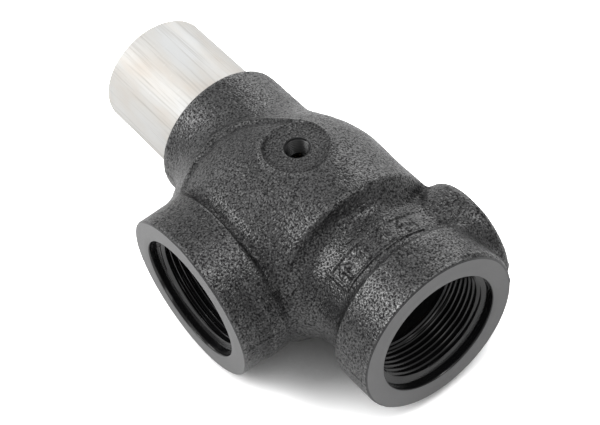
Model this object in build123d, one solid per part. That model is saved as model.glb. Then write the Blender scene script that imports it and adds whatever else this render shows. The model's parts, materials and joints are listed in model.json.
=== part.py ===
from build123d import *
import os
from math import pi, sin, cos, sqrt

# Pressure relief valve, angle pattern, 1-1/2 in pipe ports. Millimetres.
# The spring axis is Y: inlet at -Y, spring cap at +Y. The outlet is at -X and the
# gauge port at +Z. Below, y is measured from where the spring and outlet axes meet;
# save() moves every piece so that the origin lies at y_origin, in the inlet.
# Prefixes: r_ radius, d_ depth, x_ y_ z_ place. Ranges are (low, high).

y_origin = -62.0
run = 0.05               # running clearance
gap = 0.02               # gap between pieces that rest on each other

# casting, outside
y_inlet = -74.5          # inlet port face
y_flange = -56.4         # back of the inlet flange
r_flange = 33.7
r_neck = 27.6            # neck between flange and barrel
y_barrel = -27.9         # -Y face of the barrel
r_barrel = 36.6
r_collar = 28.7          # collar that takes the spring cap
y_collar = 57.1          # end face of the collar
x_outlet = -57.8         # outlet port face
r_outlet = 34.0
x_hub = -39.0            # +X edge of the outlet hub
r_passage = 33.1         # passage between the hub and the bulb
bulb_centre = (-10.0, 4.0, 0.0)
r_bulb, bulb_half_z = 44.0, 37.3        # domed chamber bulb, flattened along Z
y_bend, r_corner = -50.0, 16.0          # corner from neck to outlet, and its inner radius
y_boss, r_boss, x_boss = -47.0, 22.0, 39.4          # blank boss on +X
x_pad, y_pad, r_pad, z_pad = 0.8, 3.0, 12.8, 36.3   # gauge port pad on +Z

# ports: a shallow recess, a lead-in chamfer and the tapped wall
r_recess, d_recess = 25.4, 3.6
r_thread, d_lead, d_thread = 22.6, 5.2, 20.1
r_way = 21.5             # waterway
r_gauge, r_gauge_mouth, d_gauge_mouth = 4.4, 4.75, 0.75

# chamber
r_chamber = 27.5
y_floor = -14.0
y_web = (-36.0, -22.0)   # web that holds the nozzle
r_web = 18.85
r_counterbore = 21.8     # for the nozzle flange
r_cap_bore = 22.0        # tapped wall in the collar

# nozzle, seat and retaining ring
r_nozzle = 15.0
r_seat, r_seat_flange = 18.8, 21.7
y_flange_top = -18.0
y_seat = -14.5
r_lip = 17.2
y_seat_groove = (-31.2, -28.8)
y_ring = (-17.9, -16.4)
r_ring_groove = 23.3
x_lug, z_lug, z_lug_hole = 6.2, -19.9, -19.7

# poppet, spindle and guide
r_seal_face, y_seal_face = 18.3, -10.4
y_poppet_top = 6.0
r_stem = 4.0             # poppet stem, and the spindle's upper end
r_spindle = 6.0
r_pin, y_pin = 1.5, 1.6
y_wing_top = -17.4
wing_thickness = 2.6
y_nut_end = -42.4
spider_nut_flats = 13.0

# spring and its buttons
r_wire, r_coil, coils = 2.25, 15.5, 7.0
y_spring = (12.0, 78.0)
ramp = 0.35              # turns on each side of a change of pitch
r_button = 18.2
r_bush_bore = 6.6
y_bush_top = 86.0

# spring cap
r_cap, y_cap = 23.95, 102.6
r_cap_in = 18.7
y_cap_thread, y_cap_wall = 34.0, 92.0
r_cap_thread = 21.95
y_cap_groove = (52.4, 54.8)
x_cap_hole, r_cap_hole, d_cap_hole = 17.0, 2.1, 5.0

# adjuster, 1/2-20 thread
r_screw = 6.35
y_screw = (88.0, 113.6)
y_screw_groove = (97.7, 100.0)          # O-ring groove in the cap
socket_flats, d_socket = 6.35, 4.6
nut_flats, nut_height, washer_height = 19.05, 7.0, 1.5

BASE = (Align.CENTER, Align.CENTER, Align.MIN)


# -------------------------------------------------------------------- helpers
def save(shape, name):
    solids = shape.solids()
    out = solids[0] if len(solids) == 1 else Compound(children=list(solids))
    out = out.moved(Location((0, -y_origin, 0)))
    out.label = name
    export_step(out, f"parts/{name}.step")


def turned(*points):
    """Solid of revolution about Y from (radius, y) points."""
    return revolve(make_face(Polyline(*points, close=True)), Axis.Y, 360)


def cyl_x(radius, low, high, y=0.0):
    return Location((low, y, 0)) * (Rotation(0, 90, 0) * Cylinder(radius, high - low, align=BASE))


def cyl_y(radius, low, high, x=0.0, z=0.0):
    return Location((x, low, z)) * (Rotation(-90, 0, 0) * Cylinder(radius, high - low, align=BASE))


def cyl_z(radius, low, high, x=0.0, y=0.0):
    return Location((x, y, low)) * Cylinder(radius, high - low, align=BASE)


def hex_y(flats, low, high):
    prism = extrude(RegularPolygon(flats / 2, 6, major_radius=False), high - low)
    return Location((0, low, 0)) * (Rotation(-90, 0, 0) * prism)


def o_ring(r_centre, r_section, groove):
    """O-ring in the middle of a groove's y range."""
    return Location((0, sum(groove) / 2, 0)) * (Rotation(-90, 0, 0) * Torus(r_centre, r_section))


def rim(shape, axis, index):
    """Circular edge of a shape, counted along an axis."""
    return shape.edges().filter_by(GeomType.CIRCLE).sort_by(axis)[index]


# ----------------------------------------------------------------- valve body
def corner_arc(radius, y, step_r, step_y):
    """Arc that rounds the corner (radius, y), from its lower end to its upper one.
    The steps are equal in size and point from the corner to the arc's ends."""
    inset = round(abs(step_r) * (1 - sqrt(0.5)), 2) / abs(step_r)
    ends = [(radius + step_r, y), (radius, y + step_y)]
    low, high = sorted(ends, key=lambda end: end[1])
    return ThreePointArc(low, (radius + inset * step_r, y + inset * step_y), high)


def casting():
    """Turned outside of the flange, neck, barrel and collar."""
    flange_edge = corner_arc(r_flange, y_flange, -1.4, -1.4)
    neck_start = corner_arc(r_neck, y_flange, 3.0, 3.0)
    neck_end = corner_arc(r_neck, y_barrel, 4.0, -4.0)
    barrel_edge = corner_arc(r_barrel, y_barrel, -2.0, 2.0)
    shoulder = [(r_barrel, -1.0), (35.9, 6.9), (33.1, 16.3), (30.2, 23.5), (r_collar, 31.0)]
    outline = (
        Polyline((0, y_inlet), (r_flange - 0.6, y_inlet), (r_flange, y_inlet + 0.6),
                 flange_edge @ 0)
        + flange_edge
        + Line(flange_edge @ 1, neck_start @ 0)
        + neck_start
        + Line(neck_start @ 1, neck_end @ 0)
        + neck_end
        + Line(neck_end @ 1, barrel_edge @ 0)
        + barrel_edge
        + Line(barrel_edge @ 1, shoulder[0])
        + Spline(*shoulder, tangents=((0, 1), (0, 1)))
        + Line(shoulder[-1], (r_collar, y_collar - 0.8))
        + Polyline((r_collar, y_collar - 0.8), (r_collar - 0.8, y_collar), (0, y_collar),
                   (0, y_inlet))
    )
    return revolve(make_face(outline), Axis.Y, 360)


def port():
    """Cutter for a port that opens at y = 0 and runs to +Y."""
    return turned((0, -1), (r_recess, -1), (r_recess, d_recess), (r_thread, d_lead),
                  (r_thread, d_thread), (0, d_thread))


def chamber():
    """Cutter from the web to the collar's end, with the retaining ring's groove."""
    groove_low, groove_high = y_ring[0] - run, y_ring[1] + run
    return turned(
        (0, y_web[0] - 0.01), (r_web, y_web[0] - 0.01), (r_web, y_web[1]),
        (r_counterbore, y_web[1]), (r_counterbore, groove_low), (r_ring_groove, groove_low),
        (r_ring_groove, groove_high), (r_counterbore, groove_high), (r_counterbore, y_floor),
        (r_chamber, y_floor), (r_chamber, 7.0), (r_cap_bore, 27.0),
        (r_cap_bore, y_collar + 1), (0, y_collar + 1))


def valve_body():
    body = casting()
    hub = cyl_x(r_outlet, x_outlet, x_hub)
    hub = chamfer(rim(hub, Axis.X, 0), 0.6)
    hub = chamfer(rim(hub, Axis.X, -1), 1.0)
    body = body + hub + cyl_x(r_passage, x_hub - 1, 0)

    # bulb, kept only on the +Y side of the barrel's face
    dome = Location(bulb_centre) * scale(Sphere(r_bulb), by=(1, 1, bulb_half_z / r_bulb))
    above = Box(200, 200, 200, align=(Align.CENTER, Align.MIN, Align.CENTER))
    dome = dome & (Location((0, y_barrel, 0)) * above)
    body = body + dome

    # swept corner that joins the outlet to the neck
    section = Plane((0, y_bend, 0), x_dir=(1, 0, 0), z_dir=(0, 1, 0)) * Circle(r_neck)
    body = body + revolve(section, Axis((-r_corner - r_neck, y_bend, 0), (0, 0, 1)), 90)

    boss = cyl_x(r_boss, 0, x_boss, y=y_boss)
    body = body + fillet(rim(boss, Axis.X, -1), 3.2)
    pad = cyl_z(r_pad, 10.0, z_pad, x=x_pad, y=y_pad)
    body = body + fillet(rim(pad, Axis.Z, -1), 1.0)
    # clear whatever stands above the pad's face
    body = body - cyl_z(r_pad - 0.2, z_pad, z_pad + 6, x=x_pad, y=y_pad)

    body = body - (Location((0, y_inlet, 0)) * port())
    body = body - cyl_y(r_way, y_inlet + d_thread - 0.01, y_web[0])
    body = body - (Location((x_outlet, 0, 0)) * (Rotation(0, 0, -90) * port()))
    body = body - cyl_x(r_way, x_outlet + d_thread - 0.01, -5)
    body = body - chamber()
    body = body - cyl_z(r_gauge, 20.0, z_pad + 1, x=x_pad, y=y_pad)
    mouth = Cone(r_gauge_mouth, r_gauge, d_gauge_mouth, align=BASE)
    return body - (Location((x_pad, y_pad, z_pad)) * Rotation(180, 0, 0) * mouth)


# ------------------------------------------------------------ nozzle and seat
def seat_ring():
    low, high = y_seat_groove
    y_flange_base = y_web[1] + gap
    return turned(
        (r_nozzle, y_web[0]), (r_seat - 0.6, y_web[0]), (r_seat, y_web[0] + 0.6),
        (r_seat, low), (17.2, low), (17.2, high), (r_seat, high), (r_seat, y_flange_base),
        (r_seat_flange, y_flange_base), (r_seat_flange, y_flange_top),
        (r_lip + 0.9, y_flange_top), (r_lip, y_seat), (r_nozzle + 0.7, y_seat),
        (r_nozzle, y_seat - 0.9))


def seat_o_ring():
    return o_ring(18.03, 0.79, y_seat_groove)


def seat_retaining_ring():
    """Ring open at -Z, with a drilled lug on each side of the opening."""
    ring = cyl_y(r_ring_groove - run, *y_ring) - cyl_y(19.7, -18.5, -16.0)
    ring = ring - Location((0, sum(y_ring) / 2, -22.0)) * Box(9.0, 4.0, 8.0)
    for x in (x_lug, -x_lug):
        ring = ring + cyl_y(2.1, *y_ring, x=x, z=z_lug)
    for x in (x_lug, -x_lug):
        ring = ring - cyl_y(0.9, -19, -15, x=x, z=z_lug_hole)
    return ring


# --------------------------------------------------------- poppet and spindle
def pin_hole():
    return cyl_x(r_pin + run, -12, 12, y=y_pin)


def poppet():
    r_bore = r_spindle + run
    return turned(
        (0, -44.0), (r_stem - 0.6, -44.0), (r_stem, -43.4), (r_stem, y_seal_face),
        (r_seal_face, y_seal_face), (r_seal_face, -13.2), (19.6, -13.2), (20.5, -12.3),
        (20.5, -6.0), (19.5, -5.0), (12.0, -5.0), (10.0, -3.0), (10.0, y_poppet_top - 0.6),
        (9.4, y_poppet_top), (r_bore, y_poppet_top), (r_bore, -4.1), (0, -4.1),
    ) - pin_hole()


def poppet_seal():
    disc = cyl_y(r_seal_face - 0.1, y_seat + 0.03, y_seal_face - gap)
    return disc - cyl_y(r_stem + 0.1, y_seat - 1, -9)


def guide_spider():
    """Stepped hub with three wings that slide in the nozzle."""
    r_wing = r_nozzle - run
    place = Location((0, (y_web[0] + y_wing_top) / 2, 0))
    wing = place * Box(2 * r_wing, y_wing_top - y_web[0], wing_thickness)
    half = Location((r_nozzle, 0, 0)) * place * Box(2 * r_nozzle, 40, 40)
    wing = (wing & half) & cyl_y(r_wing, y_web[0], y_wing_top)
    spider = cyl_y(12.2, y_wing_top, y_seat + 0.01) + cyl_y(6.6, y_web[0], y_wing_top)
    for i in range(3):
        spider = spider + (Rotation(0, 120 * i + 90, 0) * wing)
    return spider - cyl_y(r_stem + run, -50, 0)


def spider_nut():
    envelope = turned((0, y_nut_end - 0.1), (6.6, y_nut_end - 0.1), (7.6, y_nut_end + 1.0),
                      (7.6, y_web[0]), (0, y_web[0]))
    nut = hex_y(spider_nut_flats, y_nut_end, y_web[0] - gap) & envelope
    return nut - cyl_y(r_stem + run, -60, 0)


def spindle():
    return turned(
        (0, -4.0), (r_spindle - 0.6, -4.0), (r_spindle, -3.4), (r_spindle, 65.4),
        (r_spindle - 0.6, 66.0), (r_stem, 66.0), (r_stem, 89.3), (r_stem - 0.6, 89.9),
        (0, 89.9),
    ) - pin_hole()


def spindle_pin():
    pin = cyl_x(r_pin, -9.8, 9.8, y=y_pin)
    return chamfer(pin.edges().filter_by(GeomType.CIRCLE), 0.3)


# --------------------------------------------------------------------- spring
def lower_spring_button():
    r_bore = r_spindle + run
    base, top = y_poppet_top + gap, y_spring[0] - gap
    return turned((r_bore, base), (14.0, base), (r_button - 1.0, 8.0), (r_button, 8.6),
                  (r_button, top), (13.0, top), (12.8, 15.6), (11.6, 17.0), (r_bore, 17.0))


def main_spring():
    """Closed ends: about one turn each, with the active turns between."""
    length = y_spring[1] - y_spring[0] - 2 * r_wire
    closed = 2 * r_wire * 1.04
    active = (length - 2 * closed) / (coils - 2.0)

    def pitch_at(turn):
        from_end = min(turn, coils - turn)
        if from_end < 1 - ramp:
            return closed
        if from_end > 1 + ramp:
            return active
        part = (from_end - 1 + ramp) / (2 * ramp)
        return closed + (active - closed) * (part * part * (3 - 2 * part))

    def rise(turns):
        """Climb of the wire's centre, summed over short steps of the pitch."""
        count = max(2, int(turns * 60))
        return sum(pitch_at(turns * (i + 0.5) / count) for i in range(count)) * turns / count

    total = rise(coils)
    steps = int(coils * 16)
    centres = []
    for i in range(steps + 1):
        turns = coils * i / steps
        angle = 2 * pi * turns
        y = y_spring[0] + r_wire + rise(turns) * length / total
        centres.append((r_coil * cos(angle), y, -r_coil * sin(angle)))
    path = Spline(*centres)
    start = Plane(path @ 0, z_dir=path % 0)
    wire = sweep(start * Circle(r_wire - 0.02), path=path, is_frenet=False)
    return wire & cyl_y(25, *y_spring)


def upper_spring_button():
    base = y_spring[1] + gap
    return turned(
        (r_bush_bore, 73.0), (11.6, 73.0), (12.8, 74.4), (13.0, base), (r_button, base),
        (r_button, 82.0), (r_button - 1.0, 83.0), (10.0, 83.0), (9.0, 84.0),
        (9.0, y_bush_top), (r_bush_bore, y_bush_top))


def spindle_bush():
    inner, outer = r_stem + run, r_bush_bore - gap
    top = y_bush_top - gap
    return turned((inner, 80.0), (outer, 80.0), (outer, top), (inner, top))


def thrust_washer():
    low, high = y_bush_top + gap, y_screw[0] - gap
    return turned((4.6, low), (8.6, low), (9.0, 86.4), (9.0, 87.6), (8.6, high), (4.6, high))


# ----------------------------------------------------------- cap and adjuster
def spring_cap():
    low, high = y_cap_groove
    screw_low, screw_high = y_screw_groove
    r_bore = r_screw + run
    cap = turned(
        (r_cap_in, y_cap_thread), (r_cap_thread - 0.8, y_cap_thread),
        (r_cap_thread, y_cap_thread + 0.8), (r_cap_thread, low), (20.4, low), (20.4, high),
        (r_cap_thread, high), (r_cap_thread, y_collar + gap), (r_cap, y_collar + gap),
        (r_cap, y_cap - 0.3), (r_cap - 0.3, y_cap), (r_bore, y_cap), (r_bore, screw_high),
        (7.95, screw_high), (7.95, screw_low), (r_bore, screw_low), (r_bore, y_cap_wall),
        (r_cap_in - 2.0, y_cap_wall), (r_cap_in, y_cap_wall - 2.0))
    for x in (-x_cap_hole, x_cap_hole):
        cap = cap - cyl_y(r_cap_hole, y_cap - d_cap_hole, y_cap + 1, x=x)
    return cap


def cap_o_ring():
    return o_ring(21.2, 0.77, y_cap_groove)


def adjuster_o_ring():
    return o_ring(7.17, 0.76, y_screw_groove)


def adjusting_screw():
    low, high = y_screw
    screw = turned(
        (4.5, low), (r_screw - 0.8, low), (r_screw, low + 0.8), (r_screw, high - 0.8),
        (r_screw - 0.8, high), (0, high), (0, 106.0), (4.5, 104.0))
    return screw - hex_y(socket_flats, high - d_socket, high + 1)


def sealing_washer():
    inner, low, high = r_screw + 0.15, y_cap + gap, y_cap + washer_height
    return turned((inner, low), (10.5, low), (10.5, high), (inner, high))


def lock_nut():
    low = y_cap + washer_height + gap
    high = y_cap + washer_height + nut_height
    r_points = nut_flats / sqrt(3)
    envelope = turned(
        (0, low), (r_points - 1.2, low), (r_points + 0.1, low + 0.75),
        (r_points + 0.1, high - 0.75), (r_points - 1.2, high), (0, high))
    nut = hex_y(nut_flats, low, high) & envelope
    return nut - cyl_y(r_screw + run, low - 1, high + 1)


# each function's name is also its piece's name
PIECES = (
    valve_body, seat_ring, seat_o_ring, seat_retaining_ring, poppet, poppet_seal,
    guide_spider, spider_nut, spindle, spindle_pin, lower_spring_button, main_spring,
    upper_spring_button, spindle_bush, thrust_washer, spring_cap, cap_o_ring,
    adjuster_o_ring, adjusting_screw, sealing_washer, lock_nut,
)

os.makedirs("parts", exist_ok=True)
for piece in PIECES:
    save(piece(), piece.__name__)
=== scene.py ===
"""Cast valve with a compression spring and an adjusting screw.

Shapes are drawn in body coordinates, in millimetres. The spring axis is Y, with the inlet port
facing -Y. The outlet port faces -X and the gauge port faces +Z. y = 0 is where the spring and
outlet axes cross; the scene is in metres, with that point at y = BODY_Y.
"""
import itertools
import json
import math
import bpy
import bmesh
import numpy as np
from mathutils import Vector, Matrix


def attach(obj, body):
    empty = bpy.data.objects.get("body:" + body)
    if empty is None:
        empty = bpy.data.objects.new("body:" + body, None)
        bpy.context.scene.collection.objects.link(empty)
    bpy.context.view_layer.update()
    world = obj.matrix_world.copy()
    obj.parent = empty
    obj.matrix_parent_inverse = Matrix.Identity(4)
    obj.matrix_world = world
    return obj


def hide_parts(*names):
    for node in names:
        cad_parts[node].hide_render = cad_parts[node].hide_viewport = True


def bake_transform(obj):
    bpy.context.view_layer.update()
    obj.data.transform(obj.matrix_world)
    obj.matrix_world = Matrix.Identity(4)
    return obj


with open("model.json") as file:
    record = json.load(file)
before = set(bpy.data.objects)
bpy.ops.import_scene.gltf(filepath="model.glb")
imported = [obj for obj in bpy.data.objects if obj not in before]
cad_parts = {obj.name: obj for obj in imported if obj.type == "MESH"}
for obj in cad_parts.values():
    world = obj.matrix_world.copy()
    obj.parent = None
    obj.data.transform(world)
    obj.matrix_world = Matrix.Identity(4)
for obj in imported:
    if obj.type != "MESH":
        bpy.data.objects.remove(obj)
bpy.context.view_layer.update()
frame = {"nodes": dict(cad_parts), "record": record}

F32 = np.float32
MM = 0.001
BODY_Y = 62.0

# machined faces of the casting
INLET_FACE, TOP_FACE = -74.45, 57.05   # y
OUTLET_FACE = -57.75                   # x
# gauge pad: axis and face
PAD_X, PAD_Y, PAD_FACE = 0.8, 3.0, 36.3
# outer faces of the threaded liners, a little proud of the casting
INLET_LINER_Y, OUTLET_LINER_X = -74.5, -57.8

SCREW_TOP = 113.6
SPRING_LOW, SPRING_HIGH = 12.0, 78.0
SPRING_MID = (SPRING_LOW + SPRING_HIGH) / 2


# ------------------------------------------------------------------ mesh help
def make_object(name, verts, faces, merge=None):
    """verts in body coordinates; faces are a list of index tuples or an (n, 4) array."""
    mesh = bpy.data.meshes.new(name)
    coords = np.asarray(verts, float).copy()
    coords[:, 1] += BODY_Y
    coords *= MM
    if isinstance(faces, np.ndarray):
        count, corners = faces.shape
        mesh.vertices.add(len(coords))
        mesh.vertices.foreach_set("co", coords.astype(F32).ravel())
        mesh.loops.add(count * corners)
        mesh.loops.foreach_set("vertex_index", faces.astype(np.int32).ravel())
        mesh.polygons.add(count)
        starts = np.arange(0, count * corners, corners, dtype=np.int32)
        mesh.polygons.foreach_set("loop_start", starts)
        mesh.update(calc_edges=True)
    else:
        mesh.from_pydata([tuple(p) for p in coords], [], faces)
    mesh.validate()
    if merge:
        bm = bmesh.new()
        bm.from_mesh(mesh)
        bmesh.ops.remove_doubles(bm, verts=bm.verts, dist=merge * MM)
        bmesh.ops.dissolve_degenerate(bm, dist=merge * MM * 0.5, edges=bm.edges)
        bmesh.ops.recalc_face_normals(bm, faces=bm.faces)
        bm.to_mesh(mesh)
        bm.free()
    mesh.polygons.foreach_set("use_smooth", [True] * len(mesh.polygons))
    ob = bpy.data.objects.new(name, mesh)
    bpy.context.scene.collection.objects.link(ob)
    return ob


def sharpen(ob, degrees):
    """Keeps turned edges crisp on a smooth-shaded piece."""
    bm = bmesh.new()
    bm.from_mesh(ob.data)
    limit = math.radians(degrees)
    for edge in bm.edges:
        if len(edge.link_faces) == 2 and edge.calc_face_angle(0) > limit:
            edge.smooth = False
    bm.to_mesh(ob.data)
    bm.free()


# ------------------------------------------------------------- smooth noise
def lattice_noise(points, cell, seed):
    """Gradient noise, about -1..1, from a hash of the lattice corners; the same every run."""
    scaled = points / cell
    base = np.floor(scaled).astype(np.int64)
    frac = (scaled - base).astype(F32)
    weight = frac * frac * frac * (frac * (frac * 6 - 15) + 10)
    total = np.zeros(len(points), F32)
    for corner in itertools.product((0, 1), repeat=3):
        i, j, k = (base[:, m] + corner[m] for m in range(3))
        key = (i * 73856093) ^ (j * 19349663) ^ (k * 83492791) ^ (seed * 2654435)
        key = (key ^ (key >> 13)) * 1274126177 & 0xFFFFFFFF
        key ^= key >> 16
        # unit gradient from an angle and a height
        angle = (key & 1023).astype(F32) * F32(2 * math.pi / 1024)
        up = ((key >> 10) & 1023).astype(F32) * F32(2 / 1023) - 1
        flat = np.sqrt(np.maximum(0, 1 - up * up))
        x, y, z = (frac[:, m] - corner[m] for m in range(3))
        slope = flat * np.cos(angle) * x + flat * np.sin(angle) * y + up * z
        wx, wy, wz = (weight[:, m] if corner[m] else 1 - weight[:, m] for m in range(3))
        total += wx * wy * wz * slope
    return total * F32(1.6)


# --------------------------------------- signed distances, negative in metal
def blend_min(a, b, width):
    overlap = np.maximum(width - np.abs(a - b), 0) / width
    return np.minimum(a, b) - overlap * overlap * width * F32(0.25)


def blend_max(a, b, width):
    return -blend_min(-a, -b, width)


def ease(value, start, end):
    t = np.clip((value - start) / (end - start), 0, 1)
    return t * t * (3 - 2 * t)


def bell(value, width):
    return np.exp(-((value / width) ** 2))


def cylinder(dist, along, radius, start, end, edge):
    """Cylinder with rounded rims; dist is measured from its axis."""
    side = dist - radius + edge
    cap = np.abs(along - (start + end) / 2) - (end - start) / 2 + edge
    corner = np.hypot(np.maximum(side, 0), np.maximum(cap, 0))
    return np.minimum(np.maximum(side, cap), 0) + corner - edge


def tube(dist, along, radius, start, end):
    """Sharp-ended cylinder, whose radius may vary."""
    return np.maximum(dist - radius, np.maximum(start - along, along - end))


def segment(x, y, start, end):
    """Distance to a line segment, and how far along it the nearest point is, 0..1."""
    (ax, ay), (bx, by) = start, end
    dx, dy = bx - ax, by - ay
    t = np.clip(((x - ax) * dx + (y - ay) * dy) / (dx * dx + dy * dy), 0, 1)
    return np.hypot(x - ax - t * dx, y - ay - t * dy), t


def axis_distances(x, y, z):
    """Distances from the spring, outlet and gauge axes."""
    return np.hypot(x, z), np.hypot(y, z), np.hypot(x - PAD_X, y - PAD_Y)


# ------------------------------------------------------------- casting shape
# (x, y) of the crest where the dome meets the collar's fillet; it runs out round the gauge pad
RIDGE = [(-43.0, 23.5), (-36.7, 27.7), (-27.5, 32.6), (-15.8, 34.7), (-6.6, 32.4),
         (-1.8, 28.7), (2.6, 24.7), (5.6, 20.2), (8.7, 15.9), (10.6, 10.5), (12.0, 5.9),
         (12.5, 1.1), (11.9, -3.3), (9.9, -6.6)]
# raised panel on the neck: radius, angles from +Z towards +X, and y span
PANEL_R, PANEL_Y0, PANEL_Y1 = 28.4, -50.6, -41.0
PANEL_A0, PANEL_A1 = math.radians(-43.7), math.radians(30)
ARROWS = 4

NECK_Y = [-62, -56.4, -54.0, -51.5, -41.6, -41.0, -40.2, -38, -35, -32, -30, -27.9, 0]
NECK_R = [32.0, 31.6, 30.2, 28.9, 28.2, 28.2, 29.0, 28.4, 27.9, 28.6, 30.0, 32.4, 32.4]
LEDGE_Y = -27.9            # underside of the chamber, over the neck
BARREL_R = 36.6
DOME_CENTRE, DOME_AXES = (-10, 4, 0), (44, 44, 37.4)
# centreline radius of the elbow, y of its centre, and radius of its section
ELBOW_BEND, ELBOW_Y, ELBOW_R = 43.6, -50, 27.6

# bores: radius, start and end along the axis
SPRING_BORES = [(26.0, -90, -54.0), (21.5, -60, -36.0), (18.95, -40, -20.0),
                (21.95, -22.0, -13.0), (22.15, 20, 80)]
OUTLET_BORES = [(26.0, -90, -37.3), (21.5, -45, 0)]
GAUGE_BORES = [(5.25, 15, 35.6), (4.75, 15, 60)]


def panel_height(turn, y):
    """Raised arrows pointing to +Y inside a raised frame, as a 0..1 height."""
    across = turn * PANEL_R
    left, right = PANEL_A0 * PANEL_R, PANEL_A1 * PANEL_R
    mid_x, mid_y = (left + right) / 2, (PANEL_Y0 + PANEL_Y1) / 2
    box = np.maximum(np.abs(across - mid_x) - (right - left) / 2,
                     np.abs(y - mid_y) - (PANEL_Y1 - PANEL_Y0) / 2)
    dist = np.abs(box) - 0.42
    tip, tail = PANEL_Y1 - 1.9, PANEL_Y0 + 1.8
    for i in range(ARROWS):
        x = left + (i + 0.5) * (right - left) / ARROWS
        # shaft and two barbs: start, end, half width
        for start, end, half in (((x, tail), (x, tip), 0.62),
                                 ((x, tip), (x - 2.3, tip - 2.5), 0.6),
                                 ((x, tip), (x + 2.3, tip - 2.5), 0.6)):
            dist = np.minimum(dist, segment(across, y, start, end)[0] - half)
    return 1 - ease(dist, start=-0.25, end=0.45)


def ridge_height(x_all, y_all, z_all):
    """Crest along RIDGE, with a shallow dip on the dome's side, faded at both ends."""
    height = np.zeros(np.shape(x_all), F32)
    near = (z_all > 15) & (x_all > -44) & (x_all < 20) & (y_all > -12) & (y_all < 42)
    x, y = x_all[near].astype(F32), y_all[near].astype(F32)
    best = np.full(x.shape, 99, F32)
    side = np.zeros(x.shape, F32)
    travel = np.zeros(x.shape, F32)
    for i, (start, end) in enumerate(zip(RIDGE, RIDGE[1:])):
        (ax, ay), (bx, by) = start, end
        dist, t = segment(x, y, start, end)
        closer = dist < best
        best = np.where(closer, dist, best)
        turn = np.sign((bx - ax) * (y - ay) - (by - ay) * (x - ax))
        side = np.where(closer, turn, side)
        travel = np.where(closer, i + t, travel)
    offset = best * side
    last = len(RIDGE)
    fade = ease(travel, 0.2, 2.0) * (1 - ease(travel, last - 4.5, last - 1.2))
    height[near] = fade * (0.90 * bell(offset - 0.4, 1.5) - 0.30 * bell(offset + 2.4, 1.7))
    return height


def dome_distance(*point):
    local = [(p - c) / a for p, c, a in zip(point, DOME_CENTRE, DOME_AXES)]
    length = np.sqrt(sum(q * q for q in local))
    slope = np.sqrt(sum((q / a) ** 2 for q, a in zip(local, DOME_AXES))) + 1e-9
    return length * (length - 1) / slope


def outer(x, y, z):
    """Outside of the casting."""
    spring_r, outlet_r, pad_r = axis_distances(x, y, z)
    turn = np.arctan2(x, z)
    neck_r = np.interp(y, NECK_Y, NECK_R).astype(F32)
    neck = tube(spring_r, y, neck_r, start=-70, end=10)
    flange = cylinder(spring_r, y, radius=33.7, start=-79.5, end=-56.4, edge=1.0)
    # the chamber narrows towards the collar
    barrel = spring_r - (BARREL_R - np.where(y > 0, 0.0257 * np.maximum(y, 0) ** 1.78, 0))
    # its lower ledge is near level towards -X and slopes towards +X
    slope = 0.10 + 0.75 * ease(turn, -0.25, 0.55)
    ledge = (LEDGE_Y - y - slope * (F32(BARREL_R) - spring_r)) / np.sqrt(1 + slope * slope)
    chamber = blend_max(blend_min(barrel, dome_distance(x, y, z), width=7), ledge, width=1.6)
    collar = cylinder(spring_r, y, radius=28.7, start=0, end=62, edge=0.5)
    # outlet passage with a shallow waist behind the hub
    passage = tube(outlet_r, x, 33.1 - 2.6 * bell(x + 36.4, 2.6), start=-50, end=0)
    hub = cylinder(outlet_r, x, radius=34.0, start=-62.8, end=-39.2, edge=1.3)
    # swept elbow between the neck and the outlet hub
    bend = np.hypot(x + ELBOW_BEND, y - ELBOW_Y) - ELBOW_BEND
    elbow = np.maximum(np.hypot(bend, z) - ELBOW_R, -ELBOW_BEND - x)
    elbow = np.maximum(elbow, ELBOW_Y - y)
    boss = cylinder(np.hypot(y + 47, z), x, radius=22, start=0, end=39.4, edge=3.2)
    pad = cylinder(pad_r, z, radius=12.7, start=10, end=PAD_FACE, edge=1.6)

    body = blend_min(np.minimum(hub, passage), neck, width=7.0)
    body = blend_min(body, elbow, width=4.5)
    body = blend_min(body, chamber, width=4.5)
    body = blend_min(body, boss, width=3.2)
    # the collar's fillet widens towards -X, the flange's towards +X
    body = blend_min(body, collar, width=4.5 + 5.0 * ease(-x, -6, 20))
    body = blend_min(body, flange, width=1.2 + 5.0 * ease(turn, 0.15, 0.75))
    body = blend_min(body, pad, width=3.0)
    # thin lip round the -X side of the spot face, where it is cut into the dome
    pad_turn = np.arctan2(y - PAD_Y, x - PAD_X)
    lip = ease(np.abs(pad_turn), 1.75, 2.25)
    body = body - 0.70 * bell(pad_r - 13.6, 1.0) * lip * (z > 20)
    body = body - ridge_height(x, y, z)
    # mould joint, a low ridge all round at z = 0
    body = body - 0.24 * bell(z, 0.6)
    on_panel = (spring_r < 33) & (y > -54) & (y < -39) & (z > 0)
    body = body - np.where(on_panel, 0.58 * panel_height(turn, y), 0)
    # spot face with a flared wall round the gauge port, then the three machined faces
    spot = np.maximum(PAD_FACE - z, (pad_r - 12.1 - 0.8 * (z - PAD_FACE)) / 1.28)
    for limit in (-spot, INLET_FACE - y, y - TOP_FACE, OUTLET_FACE - x):
        body = blend_max(body, limit, width=0.8)
    return body


def hollow(x, y, z):
    """All the bores, and the spring chamber, which tapers to its mouth."""
    spring_r, outlet_r, pad_r = axis_distances(x, y, z)
    chamber_r = np.interp(y, [22, 27], [27.5, 22.15]).astype(F32)
    cavity = tube(spring_r, y, chamber_r, start=-14.0, end=30)
    for dist, along, bores in ((spring_r, y, SPRING_BORES), (outlet_r, x, OUTLET_BORES),
                               (pad_r, z, GAUGE_BORES)):
        for radius, start, end in bores:
            cavity = np.minimum(cavity, tube(dist, along, radius, start, end))
    return cavity


def solid(x, y, z):
    return blend_max(outer(x, y, z), -hollow(x, y, z), width=F32(0.25))


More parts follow.
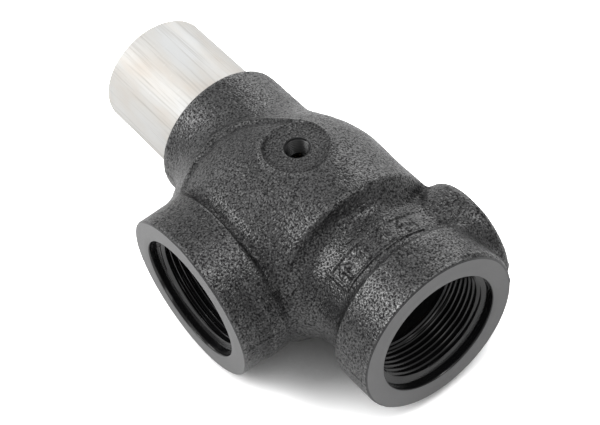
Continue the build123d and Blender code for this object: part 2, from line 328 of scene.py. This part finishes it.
# -------------------------------------------------------------- casting mesh
def surface_nets(field, low, high, pitch):
    """Quad mesh of field = 0. The grid is evaluated in slabs along X to keep memory low."""
    axes = [np.arange(a, b + pitch, pitch, dtype=F32) for a, b in zip(low, high)]
    xs, ys, zs = axes
    nx, ny, nz = len(xs), len(ys), len(zs)
    value = np.empty((nx, ny, nz), F32)
    yy, zz = np.meshgrid(ys, zs, indexing="ij")
    for a in range(0, nx, 16):
        b = min(a + 16, nx)
        x = np.broadcast_to(xs[a:b, None, None], (b - a, ny, nz))
        value[a:b] = field(x, np.broadcast_to(yy, x.shape), np.broadcast_to(zz, x.shape))
    negative = value < 0
    cell_dims = np.array([nx - 1, ny - 1, nz - 1])
    strides = np.array([(ny - 1) * (nz - 1), nz - 1, 1])
    cells, points, quads = [], [], []
    for axis in range(3):
        # grid edges along this axis that cross the surface
        near = [slice(None)] * 3
        far = [slice(None)] * 3
        near[axis], far[axis] = slice(0, -1), slice(1, None)
        near, far = tuple(near), tuple(far)
        i, j, k = np.nonzero(negative[near] != negative[far])
        start, end = value[near][i, j, k], value[far][i, j, k]
        point = np.stack([xs[i], ys[j], zs[k]], 1)
        point[:, axis] += start / (start - end) * pitch
        # the four cells round each edge
        index = np.stack([i, j, k], 1)
        inside = np.ones(len(index), bool)
        around = []
        for du, dw in ((-1, -1), (0, -1), (0, 0), (-1, 0)):
            cell = index.copy()
            cell[:, (axis + 1) % 3] += du
            cell[:, (axis + 2) % 3] += dw
            inside &= ((cell >= 0) & (cell < cell_dims)).all(1)
            around.append((cell * strides).sum(1))
        quad = np.stack(around, 1)[inside]
        flip = (start > end)[inside]
        quad[flip] = quad[flip][:, ::-1]
        quads.append(quad)
        cells.extend(quad.T)
        points.extend([point[inside]] * 4)
    points = np.concatenate(points)
    used, inverse = np.unique(np.concatenate(cells), return_inverse=True)
    count = np.bincount(inverse)
    verts = np.stack([np.bincount(inverse, points[:, m]) / count for m in range(3)], 1)
    return verts.astype(F32), np.searchsorted(used, np.concatenate(quads))


def gradient(field, verts, reach=F32(0.06)):
    result = np.empty_like(verts)
    for m in range(3):
        ahead, behind = verts.copy(), verts.copy()
        ahead[:, m] += reach
        behind[:, m] -= reach
        result[:, m] = (field(*ahead.T) - field(*behind.T)) / (2 * reach)
    return result


def machined_mask(x, y, z):
    """1 on the end faces and machined bores, 0 on rough casting."""
    spring_r, _, pad_r = axis_distances(x, y, z)
    mask = np.zeros(len(x), F32)
    for offset in (y - TOP_FACE, y - INLET_FACE, x - OUTLET_FACE):
        mask = np.maximum(mask, 1 - ease(np.abs(offset), 0.15, 0.5))
    mask[(spring_r < 22.4) & (y > 26)] = 1
    mask[(spring_r < 22.1) & (y > -36.5) & (y < -13.5)] = 1
    mask[(pad_r < 5.0) & (z > 15)] = 1
    return mask


def sand_relief(verts):
    """Height of the sand-cast texture."""
    # height, cell size, seed
    layers = ((0.13, 11.0, 1), (0.06, 4.3, 2), (0.035, 2.0, 3), (0.085, 1.35, 4))
    relief = sum(height * lattice_noise(verts, cell, seed) for height, cell, seed in layers)
    relief = relief + 0.03 * np.abs(lattice_noise(verts, cell=3.1, seed=5))
    # a few shallow pin holes left by the sand
    return relief - 0.22 * ease(lattice_noise(verts, cell=2.6, seed=6), 0.70, 0.92)


def build_casting():
    verts, quads = surface_nets(solid, low=(-59.5, -76.2, -39.2), high=(41.2, 58.8, 39.2),
                                pitch=0.5)
    # pull the vertices onto the true surface
    for _ in range(2):
        grad = gradient(solid, verts)
        square = np.maximum((grad * grad).sum(1), 0.2)
        verts = verts - grad * np.clip(solid(*verts.T) / square, -0.4, 0.4)[:, None]
    grad = gradient(solid, verts)
    normal = grad / np.maximum(np.linalg.norm(grad, axis=1), 1e-6)[:, None]
    mach = machined_mask(*verts.T)
    inside = (hollow(*verts.T) < 0.3).astype(F32)
    # how open each place is: 1 on flats and crowns, less in creases
    near = np.mean([np.clip(outer(*(verts + normal * F32(t)).T) / t, 0, 1)
                    for t in (1.2, 3.0, 6.5)], axis=0)
    # less than 1 on rounded edges
    crown = np.clip(-outer(*(verts - normal * F32(1.6)).T) / 1.6, 0, 1)
    amount = (1 - mach) * (1 - 0.35 * inside)
    verts = verts + normal * (sand_relief(verts)[:, None] * amount[:, None])
    for m, limits in enumerate(((OUTLET_FACE, 39.6), (INLET_FACE, 57.1), (-37.9, 37.9))):
        verts[:, m] = np.clip(verts[:, m], *limits)
    ob = make_object("valve_casting", verts, quads)
    for name, values in (("mach", mach), ("inside", inside), ("near", near), ("crown", crown)):
        attribute = ob.data.attributes.new(name, "FLOAT", "POINT")
        attribute.data.foreach_set("value", values.astype(F32))
    return ob


# -------------------------------------------------------------- lathed pieces
def to_port(radius, depth, angle, kind):
    """Turned coordinates to body coordinates; depth runs inwards from the outer face. The angle
    turns clockwise seen from outside, so a wave that deepens with it is a right-hand thread."""
    c, s = radius * np.cos(angle), radius * np.sin(angle)
    if kind == "inlet":
        return np.stack([s, depth + INLET_LINER_Y, c], -1)
    if kind == "outlet":
        return np.stack([depth + OUTLET_LINER_X, c, s], -1)
    if kind == "gauge":
        return np.stack([PAD_X + s, PAD_Y + c, PAD_FACE - depth], -1)
    return np.stack([c, SCREW_TOP - depth, s], -1)


def helix_rows(start, end, pitch, per, n, profile, kind):
    """Sheared grid, per rows to the pitch, so that right-hand thread crests follow its rows."""
    step = pitch / per
    rows = int(math.ceil((end - start) / step)) + per + 1
    j = np.arange(n)
    i = np.arange(rows)[:, None]
    depth = np.clip(start + (i + per * j[None, :] / n - per) * step, start, end)
    angle = np.broadcast_to(2 * math.pi * j[None, :] / n, depth.shape)
    verts = to_port(profile(depth, angle), depth, angle, kind).reshape(-1, 3)
    faces = []
    for a in range(rows - 1):
        for b in range(n):
            # the seam joins rows one pitch apart
            shift = per if b == n - 1 else 0
            low, high = min(a + shift, rows - 1), min(a + 1 + shift, rows - 1)
            after = (b + 1) % n
            face = (a * n + b, low * n + after, high * n + after, (a + 1) * n + b)
            if len(set(face)) > 2:
                faces.append(tuple(dict.fromkeys(face)))
    return verts, faces


def ring_faces(rings, n):
    return [(a * n + b, a * n + (b + 1) % n, (a + 1) * n + (b + 1) % n, (a + 1) * n + b)
            for a in range(rings - 1) for b in range(n)]


def ring_rows(points, n, kind):
    """Rings at (radius, depth) points, joined in order; a radius may depend on the angle."""
    angle = 2 * math.pi * np.arange(n) / n
    verts = np.concatenate([
        to_port(radius(angle) if callable(radius) else np.full(n, radius),
                np.full(n, depth), angle, kind)
        for radius, depth in points])
    return verts, ring_faces(len(points), n)


def join_rows(*parts):
    verts, faces, offset = [], [], 0
    for part_verts, part_faces in parts:
        verts.append(part_verts)
        faces += [tuple(i + offset for i in face) for face in part_faces]
        offset += len(part_verts)
    return np.concatenate(verts), faces


def thread_wave(depth, angle, pitch, shift=0):
    """0 at a crest flat, 1 at a root, for a 60 degree form; shift is in pitches."""
    turns = (depth - pitch * angle / (2 * math.pi)) / pitch + shift
    t = np.abs((turns % 1.0) - 0.5) * 2
    return np.clip((t - 0.10) / 0.80, 0, 1)


def port_liner(name, kind, face_r):
    """Faced ring with a tapered pipe thread behind a plain counterbore."""
    pitch = 2.209
    n, per = ((240, 14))
    mouth_r, counter_r, shell_r = 25.4, 25.38, 26.6
    crest_r, taper = 23.0, 32          # radius at the face; one in 32 inwards
    face_d, thread_d, end_d = 0.7, 3.6, 20.1
    back_d = 21.5

    def profile(depth, angle):
        cut = 1.35 * ease(end_d - depth, 0.0, 2.4)
        radius = crest_r - depth / taper + cut * thread_wave(depth, angle, pitch)
        cone = counter_r - (depth - thread_d) * 2.2
        return np.where(depth <= thread_d, counter_r, np.maximum(radius, cone))

    # radius, depth
    front = [(shell_r, face_d), (face_r - 0.55, face_d), (face_r, 0.45), (face_r - 0.35, 0.0),
             (mouth_r + 3.2, 0.0), (25.75, 0.0), (25.55, 0.08), (mouth_r, 0.3),
             (mouth_r, 1.8), (mouth_r, 3.5), (counter_r, thread_d)]
    back = [(crest_r - end_d / taper, end_d), (21.4, 20.35), (21.3, 20.6), (21.3, back_d),
            (shell_r, back_d), (shell_r, face_d)]
    verts, faces = join_rows(ring_rows(front, n, kind),
                             helix_rows(thread_d, end_d, pitch, per, n, profile, kind),
                             ring_rows(back, n, kind))
    ob = make_object(name, verts, faces, merge=0.004)
    sharpen(ob, 40)
    return ob


def gauge_liner():
    pitch, n, per = 0.94, 72, 8
    crest_r, mouth_r, shell_r = 4.4, 4.95, 5.6
    face_d, thread_d, end_d = 0.72, 0.85, 9.0

    def profile(depth, angle):
        cut = 0.50 * ease(end_d - depth, 0.0, 1.0)
        radius = crest_r + cut * thread_wave(depth, angle, pitch)
        cone = mouth_r - (depth - thread_d)
        return np.where(depth <= thread_d, mouth_r, np.maximum(radius, cone))

    # radius, depth
    front = [(shell_r, face_d), (5.0, face_d), (mouth_r, 0.76), (mouth_r, thread_d)]
    back = [(crest_r, end_d), (crest_r, 9.6), (shell_r, 9.6), (shell_r, face_d)]
    verts, faces = join_rows(ring_rows(front, n, "gauge"),
                             helix_rows(thread_d, end_d, pitch, per, n, profile, "gauge"),
                             ring_rows(back, n, "gauge"))
    ob = make_object("gauge_port_thread", verts, faces, merge=0.003)
    sharpen(ob, 40)
    return ob


def adjusting_screw():
    """Hexagon socket set screw with a rolled thread."""
    pitch, n, per = 1.27, 96, 10
    length, socket_flats = 25.6, 6.35
    thread_r, end_r = 6.33, 5.6

    def socket(angle):
        return socket_flats / 2 / np.cos(angle % (math.pi / 3) - math.pi / 6)

    def profile(depth, angle):
        cut = 0.72 * ease(depth, 0.6, 1.9) * ease(length - depth, 0.6, 1.9)
        cone = np.minimum(end_r + depth, end_r + (length - depth))
        radius = thread_r - cut * thread_wave(depth, angle, pitch, shift=0.5)
        return np.minimum(radius, cone)

    # radius, depth
    top = [(socket, 6.0), (socket, 0.35), (lambda angle: socket(angle) + 0.35, 0.0),
           (end_r, 0.0)]
    bottom = [(end_r, length), (4.5, length), (4.5, 9.6), (3.0, 8.9)]
    verts, faces = join_rows(ring_rows(top, n, "screw"),
                             helix_rows(0.0, length, pitch, per, n, profile, "screw"),
                             ring_rows(bottom, n, "screw"))
    # close the socket floor and the underside recess with fans
    count = len(verts)
    last = count - n
    verts = np.concatenate([verts, [[0, SCREW_TOP - 6.6, 0], [0, SCREW_TOP - 8.3, 0]]])
    faces += [(i, (i + 1) % n, count) for i in range(n)]
    faces += [(last + i, last + (i + 1) % n, count + 1) for i in range(n)]
    ob = make_object("adjusting_screw_threaded", verts, faces, merge=0.003)
    sharpen(ob, 35)
    return ob


def half_spring(name, end_y, side):
    """Half of the spring: closed and ground flat at end_y, open at the middle. side is the
    direction along Y from the end to the middle."""
    coil_r, wire_r, turns = 15.5, 2.2, 7.0
    closed = 0.85                      # turns in the closed end coil
    n, per_turn = ((22, 72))
    rings = int(turns / 2 * per_turn) + 1
    t = np.linspace(0, turns / 2, rings)
    # nearly flat for the closed coil, then an even pitch to mid height
    inset = wire_r * 0.98
    flat = 0.9 * wire_r * 0.55
    climb = SPRING_MID - SPRING_LOW - inset - flat
    rise = np.where(t < closed, flat * t / closed,
                    flat + climb * (t - closed) / (turns / 2 - closed))
    y = end_y + side * inset + side * rise
    angle = 2 * math.pi * (t if side > 0 else turns - t)
    centre = np.stack([coil_r * np.sin(angle), y, coil_r * np.cos(angle)], 1)
    along = np.gradient(centre, axis=0)
    along /= np.linalg.norm(along, axis=1)[:, None]
    out = centre * [1, 0, 1]
    out /= np.linalg.norm(out, axis=1)[:, None]
    up = np.cross(along, out)
    a = 2 * math.pi * np.arange(n) / n
    verts = centre[:, None] + wire_r * (np.cos(a)[None, :, None] * out[:, None]
                                        + np.sin(a)[None, :, None] * up[:, None])
    # ground end
    verts[..., 1] = np.clip(verts[..., 1], SPRING_LOW + 0.02, SPRING_HIGH - 0.02)
    faces = ring_faces(rings, n)
    faces.append(tuple(range(n)))
    faces.append(tuple((rings - 1) * n + j for j in reversed(range(n))))
    return make_object(name, verts.reshape(-1, 3), faces, merge=0.0005)


# ------------------------------------------------------------------ materials
def grey(value):
    return (value, value, value)


class Nodes:
    """Builds a node material; colours are RGB tuples, and any input may be a socket."""

    def __init__(self, name):
        self.mat = bpy.data.materials.new(name)
        self.mat.use_nodes = True
        self.tree = self.mat.node_tree
        self.tree.nodes.clear()
        self.out = self.tree.nodes.new("ShaderNodeOutputMaterial")
        self.shader = self.tree.nodes.new("ShaderNodeBsdfPrincipled")
        self.put(self.shader.outputs[0], self.out.inputs[0])

    def add(self, kind, inputs, **settings):
        node = self.tree.nodes.new(kind)
        for key, value in settings.items():
            setattr(node, key, value)
        for key, value in inputs.items():
            self.put(value, node.inputs[key])
        return node

    def put(self, value, socket):
        if isinstance(value, bpy.types.NodeSocket):
            self.tree.links.new(value, socket)
        elif socket.type == "RGBA":
            socket.default_value = (*value, 1)
        else:
            socket.default_value = value

    def position(self):
        return self.add("ShaderNodeTexCoord", {}).outputs["Object"]

    def coords(self, scale=(1, 1, 1)):
        return self.add("ShaderNodeMapping",
                        {"Vector": self.position(), "Scale": scale}).outputs[0]

    def noise(self, vector, scale=1.0, detail=2.0, rough=0.5):
        return self.add("ShaderNodeTexNoise", {"Vector": vector, "Scale": scale,
                        "Detail": detail, "Roughness": rough}).outputs["Fac"]

    def ramp(self, factor, *stops):
        node = self.add("ShaderNodeValToRGB", {"Fac": factor})
        elements = node.color_ramp.elements
        while len(elements) > 1:
            elements.remove(elements[-1])
        elements[0].position = stops[0][0]
        elements[0].color = (*stops[0][1], 1)
        for position, colour in stops[1:]:
            elements.new(position).color = (*colour, 1)
        return node.outputs[0]

    def span(self, value, source, to):
        """Maps the source range to another, clamped."""
        return self.add("ShaderNodeMapRange", {
            "Value": value, "From Min": source[0], "From Max": source[1],
            "To Min": to[0], "To Max": to[1]}).outputs[0]

    def math(self, operation, a, b=0.0):
        return self.add("ShaderNodeMath", {0: a, 1: b}, operation=operation).outputs[0]

    def mix(self, factor, a, b):
        return self.add("ShaderNodeMix", {0: factor, 6: a, 7: b}, data_type="RGBA").outputs[2]

    def mix_value(self, factor, a, b):
        return self.add("ShaderNodeMix", {0: factor, 2: a, 3: b}, data_type="FLOAT").outputs[0]

    def bump(self, height, strength, distance):
        return self.add("ShaderNodeBump", {"Height": height, "Strength": strength,
                                           "Distance": distance}).outputs[0]

    def attr(self, name):
        return self.add("ShaderNodeAttribute", {}, attribute_name=name).outputs["Fac"]

    def final(self, **inputs):
        for key, value in inputs.items():
            self.put(value, self.shader.inputs[key.replace("_", " ")])
        return self.mat


MID = (0.3, 0.7)       # the range most noise values fall in


def mat_cast():
    """Black coating over a sand-cast surface: soft pebbles, fine sand grain, small glints
    painted into the colour, and painted shade that dims the reflection in creases and bores.
    """
    n = Nodes("coated_sand_casting")
    vector = n.coords()
    mach = n.attr("mach")
    broad = n.noise(vector, scale=70, detail=3)
    grain = n.noise(vector, scale=1350, detail=1)
    glint = n.noise(vector, scale=1500, detail=0)
    col = n.ramp(broad, (0.30, (0.0055, 0.0055, 0.0058)), (0.70, (0.0110, 0.0110, 0.0115)))
    # painted glints: light specks painted into the base colour, on the outside only
    painted_glints = n.math("MULTIPLY", n.span(glint, (0.68, 0.82), to=(0, 0.60)),
                    n.span(n.attr("inside"), (0, 1), to=(1.0, 0.0)))
    col = n.mix(painted_glints, col, (0.13, 0.128, 0.125))
    col = n.mix(mach, col, (0.020, 0.020, 0.021))
    # grains stand proud with a sheen, the pits between them are dull
    rough = n.math("ADD", n.span(broad, MID, to=(0.30, 0.38)),
                   n.span(grain, (0.38, 0.62), to=(0.08, -0.05)))
    rough = n.mix_value(mach, rough, 0.34)
    # painted shade: the coating's reflection is dimmed in creases and further inside the bores;
    # rounded edges are rubbed brighter
    crease_shade_and_edge_wear = n.math("MULTIPLY", n.span(n.attr("near"), (0.62, 0.98), to=(0.12, 1.0)),
                     n.span(n.attr("inside"), (0, 1), to=(1.0, 0.35)))
    crease_shade_and_edge_wear = n.math("MULTIPLY", crease_shade_and_edge_wear,
                     n.span(n.attr("crown"), (0.55, 0.97), to=(1.6, 1.0)))
    sheen = n.math("MULTIPLY", n.span(grain, (0.34, 0.66), to=(0.08, 1.20)), crease_shade_and_edge_wear)
    sheen = n.mix_value(mach, sheen, 0.5)
    height = n.math("MULTIPLY", grain, n.span(mach, (0, 1), to=(1.0, 0.03)))
    return n.final(Base_Color=col, Roughness=rough, Specular_IOR_Level=sheen, Coat_Weight=0.0,
                   Normal=n.bump(height, strength=1.0, distance=0.00026))


def mat_machined(axis):
    """Turned face and bore, blackened: fine rings, smooth sheen; the bore walls get a near-black
    colour, painted shade inside the port.
    """
    n = Nodes("turned_black_" + axis)
    geometry = n.add("ShaderNodeNewGeometry", {})
    normal = n.add("ShaderNodeSeparateXYZ", {0: geometry.outputs["Normal"]})
    # a face looks along the port's axis; a bore wall looks across it
    along = n.math("ABSOLUTE", normal.outputs["xyz".index(axis)])
    flat = n.span(along, (0.90, 0.99), to=(0, 1))
    x, y, z = n.add("ShaderNodeSeparateXYZ", {0: n.position()}).outputs
    if axis == "y":
        a, b = x, z
    elif axis == "x":
        a, b = n.math("SUBTRACT", y, BODY_Y * MM), z
    else:
        a = n.math("SUBTRACT", x, PAD_X * MM)
        b = n.math("SUBTRACT", y, (BODY_Y + PAD_Y) * MM)
    square = n.math("ADD", n.math("MULTIPLY", a, a), n.math("MULTIPLY", b, b))
    radius = n.math("MULTIPLY", n.math("SQRT", square), 1.0)
    rings = n.noise(n.add("ShaderNodeCombineXYZ", {0: radius}).outputs[0], scale=5200)
    wide = n.noise(n.coords(), scale=60)
    speck = n.noise(n.coords(), scale=2600, detail=1)
    face = n.ramp(wide, (0.3, (0.082, 0.082, 0.083)), (0.7, (0.102, 0.102, 0.103)))
    # painted shade: bore walls take a near-black colour, the faces keep their grey
    col = n.mix(flat, (0.0045, 0.0045, 0.0048), face)
    face_rough = n.math("ADD", n.span(wide, MID, to=(0.37, 0.43)),
                        n.span(speck, MID, to=(-0.03, 0.03)))
    rough = n.mix_value(flat, 0.30 if axis == "z" else 0.15, face_rough)
    height = n.math("ADD", n.math("MULTIPLY", rings, 0.7), n.math("MULTIPLY", speck, 0.3))
    return n.final(Base_Color=col, Roughness=rough,
                   Specular_IOR_Level=n.mix_value(flat, 0.5, 0.62),
                   Normal=n.bump(height, strength=0.35, distance=0.00006))


def mat_aluminium():
    """Mill-finish drawn bar: draw lines along Y, light scuffs and warm and cool tints."""
    n = Nodes("mill_finish_aluminium")
    lines = n.noise(n.coords((900, 22, 900)), detail=4, rough=0.6)
    fine = n.noise(n.coords((3400, 60, 3400)))
    tint = n.noise(n.coords((90, 30, 90)), detail=3)
    scuff = n.noise(n.coords((260, 900, 260)), detail=3)
    col = n.ramp(tint, (0.32, (0.52, 0.48, 0.435)), (0.50, (0.54, 0.53, 0.51)),
                 (0.68, (0.56, 0.565, 0.565)))
    col = n.mix(n.span(lines, (0.52, 0.70), to=(0, 0.55)), col, (0.34, 0.325, 0.30))
    col = n.mix(n.span(scuff, (0.66, 0.78), to=(0, 0.30)), col, (0.66, 0.66, 0.65))
    rough = n.math("ADD", n.span(lines, MID, to=(0.36, 0.50)),
                   n.span(fine, MID, to=(-0.04, 0.05)))
    height = n.math("ADD", n.math("MULTIPLY", lines, 0.8), n.math("MULTIPLY", fine, 0.3))
    return n.final(Base_Color=col, Metallic=0.35, Roughness=n.math("ADD", rough, 0.12),
                   Normal=n.bump(height, strength=0.55, distance=0.00012))


def mat_turned(name, dark, light, rough):
    """Turned or drawn metal with rings across Y and slow colour drift."""
    n = Nodes(name)
    ring = n.noise(n.coords((60, 3600, 60)))
    tint = n.noise(n.coords(), scale=130, detail=3)
    spot = n.noise(n.coords(), scale=900)
    col = n.ramp(tint, (0.3, dark), (0.7, light))
    col = n.mix(n.span(spot, (0.60, 0.75), to=(0, 0.35)), col, tuple(c * 0.55 for c in dark))
    rough = n.math("ADD", n.span(tint, MID, to=rough), n.span(ring, MID, to=(-0.03, 0.03)))
    return n.final(Base_Color=col, Metallic=1.0, Roughness=rough,
                   Normal=n.bump(ring, strength=0.35, distance=0.00005))


def mat_rubber():
    n = Nodes("moulded_rubber")
    tint = n.noise(n.coords(), scale=220, detail=3)
    grain = n.noise(n.coords(), scale=2800)
    col = n.ramp(tint, (0.3, grey(0.012)), (0.7, (0.024, 0.023, 0.022)))
    rough = n.math("ADD", n.span(tint, MID, to=(0.52, 0.68)),
                   n.span(grain, MID, to=(-0.04, 0.04)))
    return n.final(Base_Color=col, Roughness=rough,
                   Normal=n.bump(grain, strength=0.3, distance=0.00005))


def mat_floor():
    """Overexposed sheet: near white in the open, dark only close under the object, where an
    occlusion test darkens the colour seen by the camera as a painted contact shadow.
    """
    n = Nodes("pale_floor")
    drift = n.noise(n.coords(), scale=3)
    path = n.add("ShaderNodeLightPath", {})
    # painted contact shadow: the floor colour seen by the camera is darkened by an occlusion
    # test near the object
    ao = n.add("ShaderNodeAmbientOcclusion", {"Distance": 0.034}, samples=12).outputs["AO"]
    shade = n.mix(n.span(ao, (0.15, 0.78), to=(0, 1)), grey(0.34), grey(2.25))
    seen = n.add("ShaderNodeBsdfDiffuse", {"Color": shade})
    mixed = n.add("ShaderNodeMixShader", {0: path.outputs["Is Camera Ray"]})
    n.final(Base_Color=n.ramp(drift, (0.3, grey(0.86)), (0.7, grey(0.88))), Roughness=0.8,
            Specular_IOR_Level=0.1)
    n.put(n.shader.outputs[0], mixed.inputs[1])
    n.put(seen.outputs[0], mixed.inputs[2])
    n.put(mixed.outputs[0], n.out.inputs[0])
    return n.mat


def paint(ob, mat):
    ob.data.materials.clear()
    ob.data.materials.append(mat)


# ------------------------------------------------------------------- assembly
def install(ob, mat, body, node):
    """Paints a piece, fixes it to a moving body and lets it stand in for a CAD node."""
    paint(ob, mat)
    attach(ob, body)
    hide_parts(node)


cast = mat_cast()
install(build_casting(), cast, "housing", "valve_body")
for name, kind, face_r, axis in (("inlet_port_thread", "inlet", 33.4, "y"),
                                 ("outlet_port_thread", "outlet", 33.7, "x")):
    liner = port_liner(name, kind, face_r)
    install(liner, mat_machined(axis), "housing", "valve_body")
install(gauge_liner(), mat_machined("z"), "housing", "valve_body")

by_slot = {
    "mill_aluminium": mat_aluminium(),
    "bronze": mat_turned("turned_bronze", dark=(0.36, 0.22, 0.10), light=(0.50, 0.33, 0.17),
                         rough=(0.26, 0.38)),
    "stainless": mat_turned("turned_stainless", dark=grey(0.46), light=(0.60, 0.60, 0.59),
                            rough=(0.24, 0.34)),
    "plated_steel": mat_turned("zinc_plated", dark=(0.52, 0.52, 0.49),
                               light=(0.66, 0.65, 0.60), rough=(0.28, 0.40)),
    "spring_steel": mat_turned("oil_tempered_steel", dark=(0.055, 0.055, 0.058),
                               light=(0.11, 0.10, 0.10), rough=(0.36, 0.48)),
    "elastomer": mat_rubber(),
}
slots = {part["node"]: part["material_slot"] for part in frame["record"]["subparts"]}
for node, ob in frame["nodes"].items():
    if node != "valve_body":
        paint(ob, by_slot[slots[node]])

install(adjusting_screw(), by_slot["plated_steel"], "adjuster", "adjusting_screw")

lower = half_spring("spring_lower_half", SPRING_LOW, side=1)
upper = half_spring("spring_upper_half", SPRING_HIGH, side=-1)
for ob, body, end in ((lower, "poppet_group", SPRING_LOW),
                      (upper, "adjuster_carriage", SPRING_HIGH)):
    paint(ob, by_slot["spring_steel"])
    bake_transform(ob)
    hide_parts("main_spring")


# ---------------------------------------------------------- stage, in metres
def build_floor():
    bm = bmesh.new()
    bmesh.ops.create_grid(bm, x_segments=8, y_segments=8, size=4.0)
    mesh = bpy.data.meshes.new("floor")
    bm.to_mesh(mesh)
    bm.free()
    floor = bpy.data.objects.new("floor", mesh)
    floor.location = (0, 0.06, -0.03788)
    scene.collection.objects.link(floor)
    paint(floor, mat_floor())


def build_world():
    """White surroundings, dimmer as a light than as seen by the camera."""
    world = bpy.data.worlds.new("studio")
    scene.world = world
    world.use_nodes = True
    tree = world.node_tree
    background = tree.nodes["Background"]
    background.inputs[0].default_value = (1, 1, 1, 1)
    path = tree.nodes.new("ShaderNodeLightPath")
    strength = tree.nodes.new("ShaderNodeMapRange")
    tree.links.new(path.outputs["Is Camera Ray"], strength.inputs["Value"])
    strength.inputs["To Min"].default_value = 0.55
    strength.inputs["To Max"].default_value = 1.0
    tree.links.new(strength.outputs[0], background.inputs[1])


LIGHT_TARGET = (0, 0.05, 0)
# name, place, width, height, watts
SOFTBOXES = [
    ("softbox_left", (-0.75, 0.55, 0.85), 0.7, 0.7, 9.5),
    ("softbox_top", (0.15, 0.30, 1.15), 1.0, 1.0, 1.8),
    ("softbox_right", (0.95, 0.75, 0.45), 0.8, 0.6, 3.8),
    ("softbox_back", (-0.25, 1.25, 0.60), 0.7, 0.5, 2.0),
    ("softbox_over", (0.35, -0.35, 1.00), 0.5, 0.5, 3.8),
    ("softbox_front", (-0.45, -0.95, 0.55), 0.7, 0.5, 1.8),
]


def build_lights():
    for name, place, width, height, watts in SOFTBOXES:
        light = bpy.data.lights.new(name, "AREA")
        light.shape = "RECTANGLE"
        light.size, light.size_y, light.energy = width, height, watts
        ob = bpy.data.objects.new(name, light)
        scene.collection.objects.link(ob)
        ob.location = place
        aim = Vector(LIGHT_TARGET) - Vector(place)
        ob.rotation_euler = aim.to_track_quat("-Z", "Y").to_euler()


def build_camera():
    """Camera turned about the body's origin, then slid within its own plane."""
    inch = 25.4
    azimuth, elevation = math.radians(-29.39840), math.radians(50.82888)
    roll = math.radians(-10.88502)
    distance, slide_right, slide_up = 29.79046, -0.17517, 0.03817      # inches
    back = np.array([math.sin(azimuth) * math.cos(elevation),
                     -math.cos(azimuth) * math.cos(elevation), math.sin(elevation)])
    level = np.cross([0, 0, 1], back)
    level /= np.linalg.norm(level)
    upright = np.cross(back, level)
    right = level * math.cos(roll) + upright * math.sin(roll)
    up = -level * math.sin(roll) + upright * math.cos(roll)
    place = (back * distance + right * slide_right + up * slide_up) * inch
    place = (place + [0, BODY_Y, 0]) * MM
    camera = bpy.data.cameras.new("camera")
    camera.lens, camera.sensor_width = 120, 36
    camera.clip_start, camera.clip_end = 0.05, 20
    ob = bpy.data.objects.new("camera", camera)
    scene.collection.objects.link(ob)
    rows = np.column_stack([right, up, back, place]).tolist()
    ob.matrix_world = Matrix(rows + [[0, 0, 0, 1]])
    scene.camera = ob


scene = bpy.context.scene
build_floor()
build_world()
build_lights()
build_camera()
scene.view_settings.view_transform = "Standard"

bpy.context.view_layer.update()
